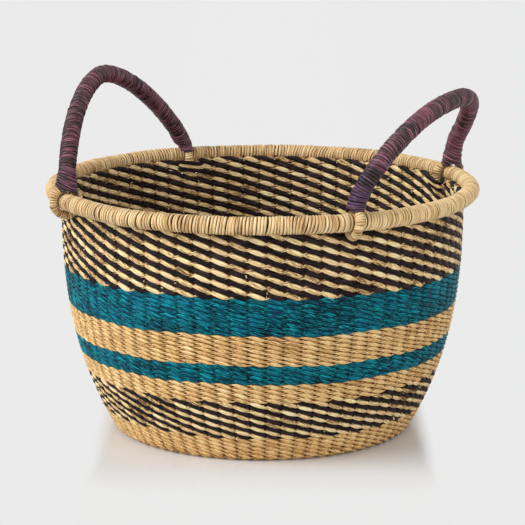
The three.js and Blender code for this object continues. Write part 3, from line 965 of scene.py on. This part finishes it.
def straw_material(name, group, first, second=None, gloss=0.2):
    """A straw's material. Where it has two dyes, the dye attribute blends them."""
    material = bpy.data.materials.new(name)
    material.use_nodes = True
    tree = material.node_tree
    surface = tree.nodes["Principled BSDF"]
    fill = straw_fill(tree, group, **first)
    shown, rough = fill["Colour"], fill["Roughness"]
    if second:
        dye = node(tree, "Attribute", attribute_name="dye").outputs["Fac"]
        other = straw_fill(tree, group, **second)
        shown = mixed(tree, dye, shown, other["Colour"])
    bump = node(tree, "Bump", {"Height": fill["Height"], "Strength": 0.7, "Distance": 0.0005})
    tree.links.new(shown, surface.inputs["Base Color"])
    tree.links.new(rough, surface.inputs["Roughness"])
    tree.links.new(bump.outputs["Normal"], surface.inputs["Normal"])
    surface.inputs["Specular IOR Level"].default_value = gloss
    return material


NATURAL = dict(dark=(134, 82, 36), middle=(230, 190, 124), light=(255, 236, 184), patch=(216, 154, 90),
               patches=0.16, streaks=2.2, tones=0.45, shade=0.95)
NATURAL_LOW = dict(dark=(116, 62, 20), middle=(220, 170, 100), light=(248, 218, 156), patch=(206, 140, 72),
                   patches=0.2, streaks=2.2, tones=0.5, shade=0.95)
NATURAL_ON_STRIPES = dict(dark=(104, 70, 42), middle=(246, 210, 146), light=(255, 247, 198),
                          patch=(232, 180, 142), patches=0.4, streaks=2.8, tones=0.9, shade=0.95)
BLACK = dict(dark=(8, 5, 7), middle=(24, 16, 20), light=(66, 48, 52), patch=(20, 28, 24),
             patches=0.4, streaks=2.8, tones=0.7, shade=0.8)
# Teal's Light colour brightens its fibre streaks, partly as painted glints
TEAL = dict(dark=(0, 28, 45), middle=(0, 80, 97), light=(16, 172, 180), patch=(2, 54, 110),
            patches=0.4, streaks=3.6, tones=0.35, shade=0.9)
WRAPPING = dict(dark=(132, 80, 34), middle=(222, 189, 134), light=(250, 234, 190), patch=(212, 158, 96),
                patches=0.30, streaks=2.4, tones=0.5, shade=0.8)
# Purple's Light colour brightens its fibre streaks, partly as painted glints on the turns
PURPLE = dict(dark=(22, 6, 12), middle=(43, 13, 24), light=(168, 104, 124), patch=(104, 12, 56),
              patches=0.55, streaks=5.2, tones=0.3, shade=1.0)
VIOLET = dict(dark=(15, 6, 13), middle=(33, 12, 27), light=(116, 78, 112), patch=(56, 12, 60),
              patches=0.6, streaks=5.2, tones=0.3, shade=1.0)
# Grass of the bundles: a dark brown, partly its own colour and partly painted shade for the gaps between the
# turns round it
BUNDLE = dict(dark=(52, 32, 20), middle=(92, 62, 36), light=(130, 96, 60), patch=(80, 52, 30),
              patches=0.3, streaks=2.5, tones=1.0, shade=0.4)
# Near-black painted in as shade deep in the pits
PAINTED_PIT_SHADE = (0.010, 0.007, 0.005, 1.0)


def straw_materials():
    """Every straw of the basket, by its use."""
    group = straw_group()
    return {
        "natural": straw_material("natural_straw", group, NATURAL, NATURAL_LOW),
        "striped": straw_material("striped_straw", group, NATURAL_ON_STRIPES, BLACK, gloss=0.12),
        "teal": straw_material("teal_straw", group, TEAL, gloss=0.12),
        "wrapping": straw_material("wrapping_straw", group, WRAPPING, gloss=0.3),
        "purple": straw_material("purple_straw", group, PURPLE, VIOLET, gloss=0.45),
        "bundle": straw_material("bundle_grass", group, BUNDLE),
    }


# Floor, light and camera

CAMERA_AZIMUTH = 21.5
CAMERA_ELEVATION = 10.2
CAMERA_DISTANCE = 12 * RIM_RADIUS
CAMERA_LENS = 170.7
CAMERA_DIP = 1.755
BACKDROP = 235
WORLD_LIGHT = 0.60

# The camera sees the floor's shade only near the basket, and past that the backdrop's tone
FLOOR_HALF = 9.0
FLOOR_SHADE_HALF_WIDTH = 0.147
FLOOR_SHADE_EDGE = 0.018
FLOOR_SHADE_NEAR = 0.135
FLOOR_SHADE_FRONT = 0.25

# Each light: its bearing from the camera's, its elevation, its energy and its width. Angles in degrees.
LAMPS = {
    "key_light": (-68, 35, 2.35, 40),
    "fill_light": (32, 25, 0.90, 60),
}


def floor():
    """A pale, slightly glossy floor. Away from the basket the camera sees it as the backdrop's own tone."""
    flat = bmesh.new()
    bmesh.ops.create_grid(flat, x_segments=1, y_segments=1, size=FLOOR_HALF)
    mesh = bpy.data.meshes.new("floor")
    flat.to_mesh(mesh)
    flat.free()
    made = bpy.data.objects.new("floor", mesh)
    bpy.context.collection.objects.link(made)
    material = bpy.data.materials.new("pale_floor")
    material.use_nodes = True
    tree = material.node_tree
    surface = tree.nodes["Principled BSDF"]
    where = node(tree, "TexCoord").outputs["Object"]
    speck = node(tree, "TexNoise", {"Vector": where, "Scale": 3.0, "Detail": 2.0}).outputs["Fac"]
    pale = mixed(tree, speck, colour(225, 225, 224), colour(228, 228, 228))
    tree.links.new(pale, surface.inputs["Base Color"])
    surface.inputs["Roughness"].default_value = 0.22
    surface.inputs["Specular IOR Level"].default_value = 0.25
    azimuth = math.radians(CAMERA_AZIMUTH)
    seen_from = node(tree, "Mapping", {"Vector": where, "Rotation": (0, 0, azimuth)}, vector_type="TEXTURE")
    sides = node(tree, "SeparateXYZ", {"Vector": seen_from.outputs[0]}).outputs
    aside = node(tree, "MapRange", {
        "Value": maths(tree, "ABSOLUTE", sides["X"]),
        "From Min": FLOOR_SHADE_HALF_WIDTH,
        "From Max": FLOOR_SHADE_HALF_WIDTH + FLOOR_SHADE_EDGE,
    }, interpolation_type="SMOOTHSTEP")
    ahead = node(tree, "MapRange", {
        "Value": maths(tree, "ABSOLUTE", sides["Y"]),
        "From Min": FLOOR_SHADE_NEAR,
        "From Max": FLOOR_SHADE_FRONT,
        "To Max": 0.9,
    }, interpolation_type="SMOOTHSTEP")
    plain = maths(tree, "MAXIMUM", aside.outputs[0], ahead.outputs[0])
    seen = node(tree, "LightPath").outputs["Is Camera Ray"]
    backdrop_tone = node(tree, "Emission", {"Color": colour(BACKDROP, BACKDROP, BACKDROP), "Strength": 1.0})
    shown = node(tree, "MixShader", {
        0: maths(tree, "MULTIPLY", plain, seen), 1: surface.outputs[0], 2: backdrop_tone.outputs[0],
    })
    tree.links.new(shown.outputs[0], tree.nodes["Material Output"].inputs["Surface"])
    mesh.materials.append(material)


def backdrop():
    """The world: near white to the eye and in reflections, and a soft even light on the object."""
    world = bpy.data.worlds.new("studio")
    bpy.context.scene.world = world
    world.use_nodes = True
    tree = world.node_tree
    tree.nodes.clear()
    rays = node(tree, "LightPath").outputs
    seen = maths(tree, "MAXIMUM", rays["Is Camera Ray"], rays["Is Glossy Ray"])
    seen = maths(tree, "MAXIMUM", seen, rays["Is Transmission Ray"])
    shown = node(tree, "Background", {"Color": colour(BACKDROP, BACKDROP, BACKDROP), "Strength": 1.0})
    lit = node(tree, "Background", {"Color": (1.0, 0.99, 0.98, 1.0), "Strength": WORLD_LIGHT})
    mix = node(tree, "MixShader", {0: seen, 1: lit.outputs[0], 2: shown.outputs[0]})
    node(tree, "OutputWorld", {"Surface": mix.outputs[0]})


def lamp(name, azimuth, elevation, energy, angle):
    """A soft sun, from an azimuth round the basket as the camera's is counted."""
    data = bpy.data.lights.new(name, "SUN")
    data.energy = energy
    data.angle = math.radians(angle)
    made = bpy.data.objects.new(name, data)
    bpy.context.collection.objects.link(made)
    made.rotation_euler = (math.radians(90 - elevation), 0, math.radians(azimuth))


def camera():
    """A camera with a long lens, aimed a little below the rim."""
    azimuth, elevation = math.radians(CAMERA_AZIMUTH), math.radians(CAMERA_ELEVATION)
    data = bpy.data.cameras.new("camera")
    data.lens = CAMERA_LENS
    data.sensor_width = 36
    data.clip_end = 40
    made = bpy.data.objects.new("camera", data)
    bpy.context.collection.objects.link(made)
    level = CAMERA_DISTANCE * math.cos(elevation)
    made.location = (
        level * math.sin(azimuth),
        -level * math.cos(azimuth),
        RIM_HEIGHT + CAMERA_DISTANCE * math.sin(elevation),
    )
    made.rotation_euler = (math.radians(90 - CAMERA_ELEVATION - CAMERA_DIP), 0, azimuth)
    bpy.context.scene.camera = made


camera()
MATERIALS = straw_materials()
weave()
stakes()
base_crossing()
strands_behind_loops()
straw_ends()
rim()
for side_name, shape in HANDLES.items():
    handle(side_name, shape)
floor()
backdrop()
for lamp_name, (aside, height, energy, width) in LAMPS.items():
    lamp(lamp_name, CAMERA_AZIMUTH + aside, height, energy, width)
bpy.context.scene.view_settings.view_transform = "Standard"
